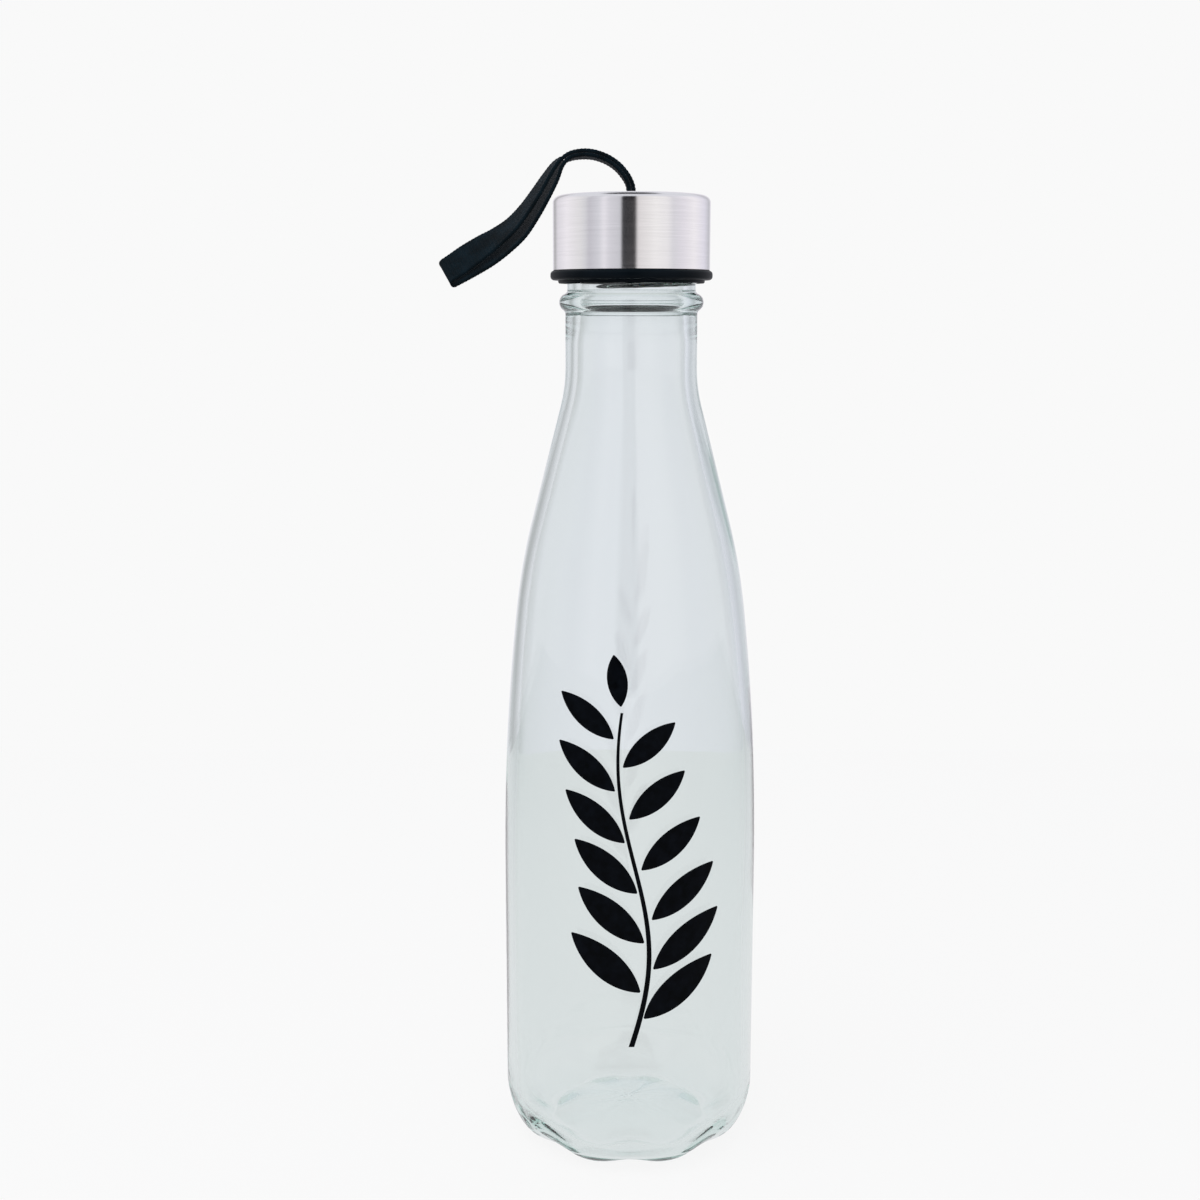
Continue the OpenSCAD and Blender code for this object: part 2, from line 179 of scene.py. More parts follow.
# ---------------------------------------------------------------- node material helpers
class Nodes:
    def __init__(self, name):
        self.mat = bpy.data.materials.new(name)
        self.mat.use_nodes = True
        self.tree = self.mat.node_tree
        self.tree.nodes.clear()
        self.out = self.tree.nodes.new("ShaderNodeOutputMaterial")
        self.bsdf = self.tree.nodes.new("ShaderNodeBsdfPrincipled")
        self.link(self.bsdf.outputs[0], self.out.inputs["Surface"])

    def node(self, kind, **values):
        n = self.tree.nodes.new(kind)
        for key, value in values.items():
            if hasattr(n, key):
                setattr(n, key, value)
        return n

    def link(self, a, b):
        self.tree.links.new(a, b)

    def set(self, **values):
        for key, value in values.items():
            self.bsdf.inputs[key.replace("_", " ")].default_value = value

    def math(self, op, a, b=None, c=None):
        n = self.node("ShaderNodeMath", operation=op)
        for i, v in enumerate((a, b, c)):
            if v is None:
                continue
            if isinstance(v, (int, float)):
                n.inputs[i].default_value = v
            else:
                self.link(v, n.inputs[i])
        return n.outputs[0]

    def noise(self, vector, scale, detail=2.0, rough=0.5):
        n = self.node("ShaderNodeTexNoise")
        n.inputs["Scale"].default_value = scale
        n.inputs["Detail"].default_value = detail
        n.inputs["Roughness"].default_value = rough
        if vector is not None:
            self.link(vector, n.inputs["Vector"])
        return n.outputs[0]

    def ramp(self, factor, stops):
        n = self.node("ShaderNodeValToRGB")
        e = n.color_ramp.elements
        while len(e) < len(stops):
            e.new(0.5)
        for el, (pos, col) in zip(e, stops):
            el.position = pos
            el.color = (*col, 1.0)
        self.link(factor, n.inputs[0])
        return n.outputs[0]

    def range(self, value, lo, hi):
        n = self.node("ShaderNodeMapRange")
        n.inputs["To Min"].default_value = lo
        n.inputs["To Max"].default_value = hi
        self.link(value, n.inputs["Value"])
        return n.outputs["Result"]

    def bump(self, height, strength, distance):
        n = self.node("ShaderNodeBump")
        n.inputs["Strength"].default_value = strength
        n.inputs["Distance"].default_value = distance
        self.link(height, n.inputs["Height"])
        return n.outputs[0]

    def coords(self, kind="Object"):
        return self.node("ShaderNodeTexCoord").outputs[kind]

    def polar(self, around, along, outward):
        """Object coordinates as (azimuth, height, radius), each times its scale per metre or radian."""
        sep = self.node("ShaderNodeSeparateXYZ")
        self.link(self.coords(), sep.inputs[0])
        x, y, z = sep.outputs
        az = self.math("ARCTAN2", y, x)
        r = self.math("SQRT", self.math("ADD", self.math("MULTIPLY", x, x), self.math("MULTIPLY", y, y)))
        com = self.node("ShaderNodeCombineXYZ")
        self.link(self.math("MULTIPLY", az, around), com.inputs[0])
        self.link(self.math("MULTIPLY", z, along), com.inputs[1])
        self.link(self.math("MULTIPLY", r, outward), com.inputs[2])
        return com.outputs[0]


def glass_material():
    m = Nodes("clear_glass")
    m.set(Base_Color=(0.97, 0.985, 0.98, 1), Roughness=0.0, IOR=1.5, Transmission_Weight=1.0)
    streak = m.noise(m.polar(1.6, 14.0, 30.0), 1.0, 1.5)
    m.link(m.bump(streak, 0.08, 0.002), m.bsdf.inputs["Normal"])
    v = m.node("ShaderNodeVolumeAbsorption")
    v.inputs["Color"].default_value = (0.15, 0.55, 0.45, 1)
    v.inputs["Density"].default_value = 20.0
    m.link(v.outputs[0], m.out.inputs["Volume"])
    return m.mat


def steel_material(name, base=(0.88, 0.87, 0.88, 1)):
    m = Nodes(name)
    m.set(Base_Color=base, Metallic=1.0, Roughness=0.15, Anisotropic=0.8, Anisotropic_Rotation=0.25)
    fine = m.noise(m.polar(2.0, 3600.0, 3600.0), 1.0, 3.0, 0.6)
    soft = m.noise(m.polar(0.8, 1400.0, 1400.0), 1.0, 2.0)
    mixed = m.math("ADD", m.math("MULTIPLY", fine, 0.65), m.math("MULTIPLY", soft, 0.35))
    tint = m.ramp(mixed, [(0.3, [c * 0.90 for c in base[:3]]), (0.7, base[:3])])
    m.link(tint, m.bsdf.inputs["Base Color"])
    m.link(m.range(mixed, 0.11, 0.19), m.bsdf.inputs["Roughness"])
    m.link(m.bump(mixed, 0.05, 0.0001), m.bsdf.inputs["Normal"])
    t = m.node("ShaderNodeTangent", direction_type="RADIAL", axis="Z")
    m.link(t.outputs[0], m.bsdf.inputs["Tangent"])
    return m.mat


def plastic_material():
    m = Nodes("black_polypropylene")
    m.set(Base_Color=(0.0012, 0.003, 0.005, 1), Roughness=0.38, Specular_IOR_Level=0.05)
    grain = m.noise(m.coords(), 2600.0, 3.0)
    broad = m.noise(m.coords(), 160.0, 2.0)
    m.link(m.ramp(broad, [(0.35, (0.0010, 0.0028, 0.0045)), (0.65, (0.0022, 0.0045, 0.0070))]),
           m.bsdf.inputs["Base Color"])
    m.link(m.range(broad, 0.32, 0.46), m.bsdf.inputs["Roughness"])
    m.link(m.bump(grain, 0.12, 0.00005), m.bsdf.inputs["Normal"])
    return m.mat


def silicone_material():
    m = Nodes("silicone")
    m.set(Base_Color=(0.72, 0.72, 0.70, 1), Roughness=0.5, Subsurface_Weight=0.2, Subsurface_Scale=0.002)
    cloud = m.noise(m.coords(), 300.0, 2.0)
    m.link(m.ramp(cloud, [(0.3, (0.68, 0.68, 0.66)), (0.7, (0.75, 0.75, 0.73))]),
           m.bsdf.inputs["Base Color"])
    m.link(m.bump(m.noise(m.coords(), 1800.0), 0.1, 0.00005), m.bsdf.inputs["Normal"])
    return m.mat


def ink_material():
    m = Nodes("printed_ink")
    m.set(Base_Color=(0.001, 0.002, 0.003, 1), Roughness=0.25, Specular_IOR_Level=0.04)
    cloud = m.noise(m.coords(), 420.0, 3.0)
    m.link(m.ramp(cloud, [(0.35, (0.0006, 0.001, 0.0016)), (0.7, (0.002, 0.003, 0.005))]),
           m.bsdf.inputs["Base Color"])
    m.link(m.range(cloud, 0.16, 0.34), m.bsdf.inputs["Roughness"])
    m.link(m.bump(m.noise(m.coords(), 3500.0), 0.1, 0.00003), m.bsdf.inputs["Normal"])
    return m.mat


WARP_STEP, WEFT_STEP = 0.36, 0.55     # spacing of the threads across and along the webbing


def webbing_material():
    m = Nodes("black_webbing")
    m.set(Base_Color=(0.006, 0.013, 0.018, 1), Roughness=0.72, Sheen_Weight=0.006, Sheen_Roughness=0.4,
          Sheen_Tint=(0.35, 0.5, 0.6, 1), Specular_IOR_Level=0.08)
    uv = m.coords("UV")
    sep = m.node("ShaderNodeSeparateXYZ")
    m.link(uv, sep.inputs[0])
    across, along = sep.outputs[0], sep.outputs[1]
    # Warp threads lie side by side across the width, and each rib hides and shows them in turn.
    warp = m.math("SINE", m.math("MULTIPLY", across, TAU / WARP_STEP))
    weft = m.math("SINE", m.math("MULTIPLY", along, TAU / WEFT_STEP))
    weave = m.math("MULTIPLY", warp, weft)
    height = m.math("ADD", m.math("MULTIPLY", weave, 0.5), m.math("MULTIPLY", warp, 0.5))
    fuzz = m.noise(m.coords(), 2500.0, 4.0, 0.7)
    height = m.math("ADD", height, m.math("MULTIPLY", fuzz, 0.8))
    tone = m.math("ADD", m.math("MULTIPLY", weave, 0.18), m.noise(m.coords(), 260.0, 2.0))
    m.link(m.ramp(tone, [(0.25, (0.0004, 0.0018, 0.0027)), (0.75, (0.0022, 0.0078, 0.0122))]),
           m.bsdf.inputs["Base Color"])
    m.link(m.bump(height, 0.45, 0.00009), m.bsdf.inputs["Normal"])
    return m.mat


GLASS = glass_material()
STEEL = steel_material("brushed_steel")
PIN_STEEL = steel_material("pin_steel", (0.62, 0.61, 0.60, 1))
PLASTIC = plastic_material()
SILICONE = silicone_material()
INK = ink_material()
WEBBING = webbing_material()


# ---------------------------------------------------------------- glass
INNER_R = BODY_R - WALL
INNER_W, INNER_H = 8.4, 11.8      # width and height of the rounded corner inside
INNER_Z = 15.2                    # where that corner starts
INNER_FLUTE = 2.7                 # how far the flutes show inside
DOME = 4.4                        # rise of the floor over the push-up
DOME_START, DOME_SPAN = 0.93, 0.97    # shares of the floor's radius where the rise starts and is nil
FLUTE_POWER = 1.19                # over 1 it makes the flutes a little narrower than the ribs between
AROUND = 320                      # steps round the glass


def flute_cross(az):
    """1 along the middle of a flute and 0 between two. One flute faces -Y."""
    return ((1 + np.cos(FLUTES * (az + math.pi / 2))) / 2) ** FLUTE_POWER


def wander(az, z):
    """Blown glass is never of one thickness: the inside wanders by a tenth or two."""
    return 0.10 * np.sin(2 * az + 0.021 * z) + 0.07 * np.sin(3 * az - 0.05 * z + 1.0)


def make_glass():
    profile, kind = [], []

    def add(points, what):
        for p in points:
            profile.append(p)
            kind.append(what)

    # Push-up and the ring that the bottle stands on.
    sphere = (PUNT_R ** 2 + PUNT_H ** 2) / (2 * PUNT_H)
    add([(r, PUNT_H - sphere + math.sqrt(sphere ** 2 - r * r))
         for r in np.linspace(0, PUNT_R - 0.4, 14)], "in")
    add([(PUNT_R, 0.06), (PUNT_R + 0.3, 0.0)], "in")
    # Heel, a quarter of an ellipse.
    for t in np.linspace(math.pi / 2, 0, 40):
        profile.append((BODY_R - HEEL_W + HEEL_W * math.cos(t), HEEL_H - HEEL_H * math.sin(t)))
        kind.append(("heel", math.sin(t) ** 2))
    add([(BODY_R, z) for z in np.linspace(HEEL_H + 3, BODY_TOP, 14)], "out")
    add([(float(wall_radius(z)), z) for z in np.linspace(BODY_TOP + 2, NECK_Z, 96)], "out")
    bead_low = -math.degrees(math.acos((NECK_R - BEAD_C) / BEAD_R))
    bead_high = math.degrees(math.acos((FINISH_R - BEAD_C) / BEAD_R))
    bead_half = math.sqrt(BEAD_R ** 2 - (NECK_R - BEAD_C) ** 2)
    add([(NECK_R, z) for z in np.linspace(NECK_Z + 2, BEAD_Z - bead_half - 1.2, 6)], "out")
    add([(NECK_R + 0.05, BEAD_Z - bead_half - 0.45), (NECK_R + 0.22, BEAD_Z - bead_half - 0.05)], "out")
    add(arc(BEAD_C, BEAD_Z, BEAD_R, bead_low + 9, bead_high - 9, 22), "out")
    add([(FINISH_R + 0.25, BEAD_TOP + 0.1), (FINISH_R + 0.06, BEAD_TOP + 0.4)], "out")
    add([(FINISH_R, z) for z in np.linspace(BEAD_TOP + 0.7, LIP_Z - 1.3, 74)], "thread")
    add(arc(FINISH_R - 1, LIP_Z - 1, 1, 0, 90, 8), "out")
    # Inside, down from the lip.
    add(arc(MOUTH_R + 1, LIP_Z - 1, 1, 96, 180, 8), "inner")
    mouth_end = BEAD_Z - bead_half
    inner_neck = NECK_R - WALL
    add([(MOUTH_R, z) for z in np.linspace(LIP_Z - 2.5, mouth_end + 1, 6)], "inner")
    for s in np.linspace(0, 1, 8):
        add([(MOUTH_R + (inner_neck - MOUTH_R) * float(smoothstep(s)), mouth_end - 9 * s)], "inner")
    top = mouth_end - 10
    for z in np.linspace(top, INNER_Z + 3, 90):
        slope = (float(wall_radius(z - 0.5)) - float(wall_radius(z + 0.5)))
        add([(float(wall_radius(z)) - WALL * math.sqrt(1 + slope * slope), z)], "inner")
    for t in np.linspace(0.04, math.pi / 2, 30):
        profile.append((INNER_R - INNER_W + INNER_W * math.cos(t), INNER_Z - INNER_H * math.sin(t)))
        kind.append(("floor", math.sin(t) ** 2))
    for r in np.linspace(DOME_START, 0, 12):
        rise = DOME * (1 - (r / DOME_SPAN) ** 2)
        add([((INNER_R - INNER_W) * r, INNER_Z - INNER_H + rise)], ("dome", r))

    def shift(i, az):
        k = kind[i]
        r, z = profile[i]
        if k == "thread":
            return thread_height(az, z, THREAD_Z, GLASS_TURNS, THREAD_START)
        if k == "inner":
            return wander(az, z) * min(1, r / 12)
        if isinstance(k, tuple) and k[0] == "heel":
            return -FLUTE_DEPTH * k[1] * flute_cross(az)
        if isinstance(k, tuple):
            depth = k[1] if k[0] == "floor" else k[1] ** 4
            return -INNER_FLUTE * depth * flute_cross(az) + wander(az, z) * min(1, r / 12)
        return 0.0

    verts, faces = revolved(profile, AROUND, shift)
    ob = new_object("glass_bottle", verts, faces, GLASS, sharp=0)
    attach(ob, "bottle")
    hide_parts("bottle_glass")


# ---------------------------------------------------------------- printed sprig
INK_T = 0.05
SPRIG_BASE, SPRIG_H, LEAF_LEN = 38.0, 105.0, 25.0
STEM_W = 1.5


def stem_x(t):
    return 5 * math.sin(TAU * t) * (1 - 0.35 * t)


def leaf_grid(x, z, angle, length, width, lift):
    """A pointed leaf from (x + lift along its axis, z), as a grid of (x, z) points."""
    rad = (length ** 2 / 4 + width ** 2 / 4) / width
    c, s = math.cos(angle), math.sin(angle)
    rows = []
    for u in np.linspace(0.012, 0.988, 25):
        y = length * u
        half = math.sqrt(rad ** 2 - (y - length / 2) ** 2) - (rad - width / 2)
        row = []
        for v in np.linspace(-1, 1, 9):
            px, py = v * half, y + lift
            row.append((x + px * c - py * s, z + px * s + py * c))
        rows.append(row)
    return rows


def make_motif():
    grids = []
    pairs = 6
    for i in range(pairs):
        t = 0.1 + 0.78 * i / pairs
        size = LEAF_LEN * (1 - 0.38 * t)
        for side in (-1, 1):
            u = t + 0.035 * side
            grids.append(leaf_grid(stem_x(u), SPRIG_BASE + SPRIG_H * u, math.radians(-50 * -side),
                                   size, size * 0.34, STEM_W))
    grids.append(leaf_grid(stem_x(0.86), SPRIG_BASE + SPRIG_H * 0.86, math.radians(8),
                           SPRIG_H * 0.13, SPRIG_H * 0.05, STEM_W))
    stem = []
    for t in np.linspace(0, 0.86, 90):
        w = STEM_W / 2 * (1 - 0.6 * t)
        stem.append([(stem_x(t) + w * v, SPRIG_BASE + SPRIG_H * t) for v in (-1, -0.33, 0.33, 1)])
    grids.append(stem)
    verts, faces = [], []
    for grid in grids:
        n, m = len(grid), len(grid[0])
        base = len(verts)
        for lift in (0.004, INK_T):
            for row in grid:
                for x, z in row:
                    r = float(wall_radius(z)) + lift
                    verts.append((x, -math.sqrt(r * r - x * x), z))

        def a(i, j):
            return base + i * m + j

        def b(i, j):
            return base + n * m + i * m + j

        for i in range(n - 1):
            for j in range(m - 1):
                faces.append((b(i, j), b(i, j + 1), b(i + 1, j + 1), b(i + 1, j)))
                faces.append((a(i, j), a(i + 1, j), a(i + 1, j + 1), a(i, j + 1)))
            faces.append((a(i, 0), b(i, 0), b(i + 1, 0), a(i + 1, 0)))
            faces.append((a(i + 1, m - 1), b(i + 1, m - 1), b(i, m - 1), a(i, m - 1)))
        for j in range(m - 1):
            faces.append((a(0, j + 1), b(0, j + 1), b(0, j), a(0, j)))
            faces.append((a(n - 1, j), b(n - 1, j), b(n - 1, j + 1), a(n - 1, j + 1)))
    ob = new_object("leaf_print", verts, faces, INK, sharp=30)
    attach(ob, "bottle")
    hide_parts("printed_motif")


# ---------------------------------------------------------------- cap
def make_shell():
    """The pressed steel cup, with the slot that the webbing comes up through."""
    steps = 256
    az = np.arange(steps) * TAU / steps
    edge = 1.8
    inner_r = SHELL_R - SHELL_T
    under = CAP_TOP - SHELL_T
    slot_w, slot_len = 3.9, 11.4

    def slot_radius(a):
        """Distance from the axis to the slot's outline, straight sides with round ends."""
        half, end = slot_w / 2, (slot_len - slot_w) / 2
        out = np.empty_like(a)
        for i, t in enumerate(a):
            c, s = abs(math.cos(t)), abs(math.sin(t))
            side = half / c if c > 1e-9 else 1e9
            if side * s <= end:
                out[i] = side
            else:
                out[i] = end * s + math.sqrt(max(half ** 2 - (end * c) ** 2, 0))
        return out

    slot_r = slot_radius(az)
    # Outside, from the bottom edge up over the top to the slot.
    loop = [("r", inner_r + 0.12, FLANGE_TOP + 0.02), ("r", SHELL_R - 0.12, FLANGE_TOP + 0.02),
            ("r", SHELL_R, FLANGE_TOP + 0.14)]
    loop += [("r", SHELL_R, z) for z in np.linspace(FLANGE_TOP + 1, CAP_TOP - edge - 0.4, 14)]
    loop += [("r", r, z) for r, z in arc(SHELL_R - edge, CAP_TOP - edge, edge, 0, 90, 14)]
    top_r = SHELL_R - edge
    loop += [("m", s, CAP_TOP) for s in (0.2, 0.4, 0.6, 0.8, 0.93)]
    loop += [("s", 0.10, CAP_TOP), ("s", 0.0, CAP_TOP - 0.10), ("s", 0.0, under + 0.05)]
    loop += [("m", s, under) for s in (0.97, 0.5)]
    edge_in = edge - SHELL_T
    loop += [("r", r, z) for r, z in arc(inner_r - edge_in, under - edge_in, edge_in, 90, 0, 8)]
    loop += [("r", inner_r, z) for z in np.linspace(under - edge_in - 1, FLANGE_TOP + 0.14, 6)]
    verts = []
    for how, v, z in loop:
        if how == "r":
            rr = np.full(steps, v)
        elif how == "s":
            rr = slot_r + v
        else:
            rr = top_r + (slot_r - top_r) * v
        verts += list(zip(rr * np.cos(az), rr * np.sin(az), np.full(steps, z)))
    faces = []
    n = len(loop)
    for i in range(n):
        for j in range(steps):
            k = (j + 1) % steps
            a, b = i * steps, ((i + 1) % n) * steps
            faces.append((a + j, a + k, b + k, b + j))
    ob = new_object("steel_shell", verts, faces, STEEL, sharp=40)
    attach(ob, "cap")
    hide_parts("cap_shell")


def make_inner_cap():
    """Black inner cap: threaded skirt, flange and the pocket under the steel for the webbing's pin."""
    plate_low = SEAL_HIGH + 0.05
    plate_high = plate_low + 1.5
    top = CAP_TOP - SHELL_T - 0.02
    profile, kind = [], []

    def add(points, what="out"):
        for p in points:
            profile.append(p)
            kind.append(what)

    add([(0, plate_low), (8, plate_low), (BORE_R - 0.6, plate_low), (BORE_R, plate_low - 0.6)])
    add([(BORE_R, z) for z in np.linspace(plate_low - 1.2, SKIRT_Z + 1.0, 64)], "thread")
    add([(BORE_R + 0.05, SKIRT_Z + 0.5), (BORE_R + 0.35, SKIRT_Z + 0.06), (BORE_R + 0.6, SKIRT_Z)])
    step_r = SKIRT_R - 0.8
    add([(step_r - 0.4, SKIRT_Z), (step_r - 0.12, SKIRT_Z + 0.1), (step_r, SKIRT_Z + 0.4),
         (step_r, FLANGE_Z - 0.05), (step_r + 0.05, FLANGE_Z)])
    edge = 1.0
    add(arc(FLANGE_R - edge, FLANGE_Z + edge, edge, -90, 0, 10))
    add(arc(FLANGE_R - edge, FLANGE_TOP - edge, edge, 0, 88, 10))
    add([(SHELL_R - 0.02, FLANGE_TOP - 0.01), (SKIRT_R, FLANGE_TOP - 0.01)])
    add([(SKIRT_R, z) for z in (FLANGE_TOP + 1, top - 2.2)])
    add(arc(SKIRT_R - 1.75, top - 1.75, 1.75, 4, 90, 6))
    add([(17.75, top), (17.75, plate_high + 0.3), (17.45, plate_high), (6, plate_high), (0, plate_high)])
    half_root, lead_in, flank, play = 1.15, 0.7, 1.6, 0.25
    cap_thread_z = SKIRT_Z + half_root + lead_in
    start = THREAD_START + TAU * (cap_thread_z + (flank + play) - THREAD_Z) / PITCH

    def shift(i, az):
        if kind[i] == "thread":
            return -thread_height(az, profile[i][1], cap_thread_z, CAP_TURNS, start)
        return 0.0

    verts, faces = revolved(profile, 240, shift)
    ob = new_object("inner_cap_moulding", verts, faces, PLASTIC, sharp=38)
    # Two saddles for the pin, and eight ribs, in the pocket.
    boxes = []
    for s in (-1, 1):
        for side in (-1, 1):
            boxes.append(((side * 2.05, s * 7.1, plate_high + 1.55), (1.9, 3.0, 3.15), 0.0))
    for i in range(8):
        boxes.append(((15.5, 0, plate_high + 2.3), (4.6, 1.2, 4.6), math.radians(22.5 + 45 * i)))
    bv, bf = [], []
    for (cx, cy, cz), (sx, sy, sz), turn in boxes:
        base = len(bv)
        e = 0.15
        hx, hy = sx / 2, sy / 2
        ring = [(-hx + e, -hy), (hx - e, -hy), (hx, -hy + e), (hx, hy - e),
                (hx - e, hy), (-hx + e, hy), (-hx, hy - e), (-hx, -hy + e)]
        for z, inset in ((-sz / 2, 0), (sz / 2 - e, 0), (sz / 2, e)):
            for x, y in ring:
                x, y = cx + x * (1 - inset / sx * 2), cy + y * (1 - inset / sy * 2)
                c, s = math.cos(turn), math.sin(turn)
                bv.append((x * c - y * s, x * s + y * c, cz + z))
        for lev in (0, 8):
            for j in range(8):
                k = (j + 1) % 8
                bf.append((base + lev + j, base + lev + k, base + lev + 8 + k, base + lev + 8 + j))
        bf.append(tuple(base + j for j in range(7, -1, -1)))
        bf.append(tuple(base + 16 + j for j in range(8)))
    ribs = new_object("inner_cap_ribs", bv, bf, PLASTIC, sharp=30)
    for piece in (ob, ribs):
        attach(piece, "cap")
    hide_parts("inner_cap")


def make_seal():
    out_r, in_r = BORE_R - 0.15, MOUTH_R - 0.8
    e = 0.3
    ring = arc(out_r - e, SEAL_LOW + e, e, -90, 0, 5) + arc(out_r - e, SEAL_HIGH - e, e, 0, 90, 5) \
        + arc(in_r + e, SEAL_HIGH - e, e, 90, 180, 5) + arc(in_r + e, SEAL_LOW + e, e, 180, 270, 5)
    verts, faces = revolved(ring, 128, None, closed=True)
    ob = new_object("silicone_seal", verts, faces, SILICONE, sharp=0)
    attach(ob, "seal")
    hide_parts("seal_ring")


def make_pin():
    half = (PIN_HIGH.y - PIN_LOW.y) / 2 / MM
    e = 0.25
    outline = [(0, -half), (PIN_R - e, -half), (PIN_R, -half + e), (PIN_R, 0),
               (PIN_R, half - e), (PIN_R - e, half), (0, half)]
    verts, faces = revolved(outline, 48)
    verts = [(x, z, PIN_Z - y) for x, y, z in verts]
    ob = new_object("loop_pin", verts, faces, PIN_STEEL, sharp=35)
    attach(ob, "cap")
    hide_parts("strap_pin")


# ---------------------------------------------------------------- webbing
WEB_W, WEB_T = 9.6, 1.0
RIB = 0.95            # spacing of the ribs across the webbing
RIB_H = 0.10          # height of a rib over the middle of the face, and depth of the furrow
SELVEDGE = 0.42       # radius of the rounded edge
PIN_GAP = 0.12        # between the pin and the webbing round it
FRONT_RINGS, BACK_RINGS = 340, 330

# Stations up from the slot to the fold: centre of the front layer (x, z), its twist in degrees, and the
# same for the back layer. The two layers leave the slot side by side, splay apart and meet at the fold.
STATIONS = [
    ((0.6, 258.0), 0, (-0.6, 258.0), 0),
    ((0.4, 261.0), 0, (-0.8, 261.0), 0),
    ((-0.2, 263.0), 0, (-1.2, 262.7), 0),
    ((-1.4, 265.0), 0, (-2.3, 264.5), 0),
    ((-3.4, 267.2), 0, (-4.1, 266.5), 0),
    ((-6.3, 269.1), 0, (-6.7, 268.2), 0),
    ((-9.8, 270.3), 0, (-9.9, 269.3), 0),
    ((-13.2, 270.5), 0, (-13.0, 269.5), 0),
    ((-16.6, 269.8), 2, (-16.1, 268.9), 2),
    ((-19.6, 267.9), 9, (-18.6, 267.0), 9),
    ((-22.2, 264.5), 13, (-20.3, 263.3), 12),
    ((-25.0, 260.2), 17, (-22.9, 258.7), 15),
    ((-28.0, 256.0), 20, (-25.7, 254.3), 18),
    ((-31.5, 252.0), 25, (-29.2, 249.9), 23),
    ((-35.5, 248.8), 32, (-33.6, 246.5), 30),
    ((-39.3, 246.3), 40, (-37.7, 244.1), 38),
    ((-43.4, 243.6), 45, (-42.2, 241.9), 44),
    ((-46.5, 241.5), 45, (-45.8, 240.0), 44),
    ((-48.5, 240.2), 45, (-47.9, 239.0), 45),
]


def spline(values, count):
    """Catmull-Rom through rows of numbers, evenly spaced along the first two columns."""
    v = np.asarray(values, float)
    v = np.vstack([2 * v[0] - v[1], v, 2 * v[-1] - v[-2]])
    dense = []
    for i in range(1, len(v) - 2):
        p0, p1, p2, p3 = v[i - 1:i + 3]
        for t in np.linspace(0, 1, 40, endpoint=i == len(v) - 3):
            dense.append(0.5 * (2 * p1 + (p2 - p0) * t + (2 * p0 - 5 * p1 + 4 * p2 - p3) * t * t
                                + (3 * p1 - p0 - 3 * p2 + p3) * t ** 3))
    dense = np.array(dense)
    s = np.concatenate([[0], np.cumsum(np.linalg.norm(np.diff(dense[:, :2], axis=0), axis=1))])
    at = np.linspace(0, s[-1], count)
    return np.column_stack([np.interp(at, s, dense[:, c]) for c in range(dense.shape[1])])


def layer_frames(rows):
    """Centre, width direction and thickness direction at each row of (x, z, twist)."""
    c = np.column_stack([rows[:, 0], np.zeros(len(rows)), rows[:, 1]])
    d = np.gradient(c, axis=0)
    d /= np.linalg.norm(d, axis=1)[:, None]
    n = np.column_stack([d[:, 2], np.zeros(len(rows)), -d[:, 0]])
    a = np.radians(rows[:, 2])[:, None]
    y = np.array([0.0, 1.0, 0.0])
    wide = np.cos(a) * y + np.sin(a) * n
    thick = np.cos(a) * n - np.sin(a) * y
    return c, wide, thick


